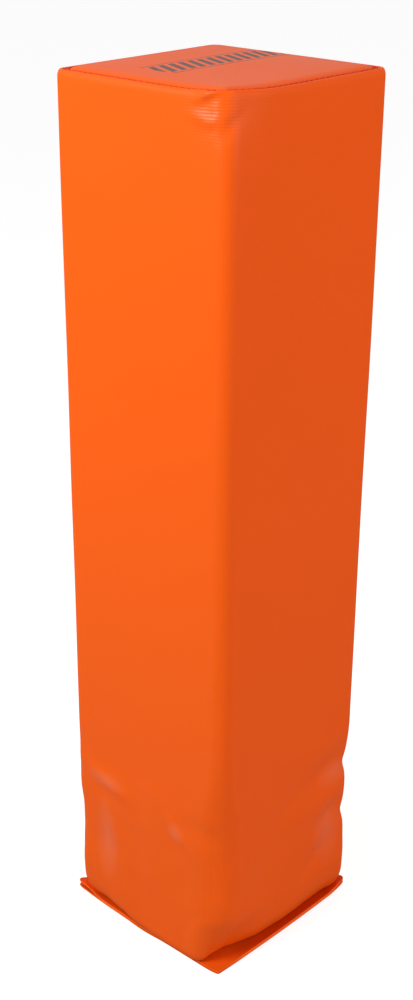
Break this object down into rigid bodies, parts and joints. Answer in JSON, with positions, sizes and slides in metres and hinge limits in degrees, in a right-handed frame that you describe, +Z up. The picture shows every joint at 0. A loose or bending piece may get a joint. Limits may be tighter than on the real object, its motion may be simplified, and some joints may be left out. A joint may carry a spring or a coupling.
{
  "type": "football field pylon",
  "caption": "Upright orange vinyl marker of square section with a foam core, a weighted foot and a sewn flange that stands flat on the ground.",
  "frame": {"origin": "on the ground under the middle of the pylon, at the underside of the bottom panel", "axes": "+Z up along the pylon; the left visible side faces -Y and the right visible side faces +X, so the edge nearest the viewer of the picture is +X -Y and the closing seam is behind the side that faces +Y"},
  "size_m": [0.1082, 0.1082, 0.4572],
  "materials": {
    "orange_vinyl": "satin",
    "cream_foam": "matte",
    "pouch_cloth": "matte",
    "ballast_grain": "matte",
    "orange_thread": "satin",
    "dark_print": "matte"
  },
  "bodies": {
    "root": {"side_wrap": "orange_vinyl", "top_panel": "orange_vinyl", "bottom_panel": "orange_vinyl", "foam_core": "cream_foam", "ballast_bag": "pouch_cloth", "ballast_fill": "ballast_grain"}
  },
  "joints": []
}
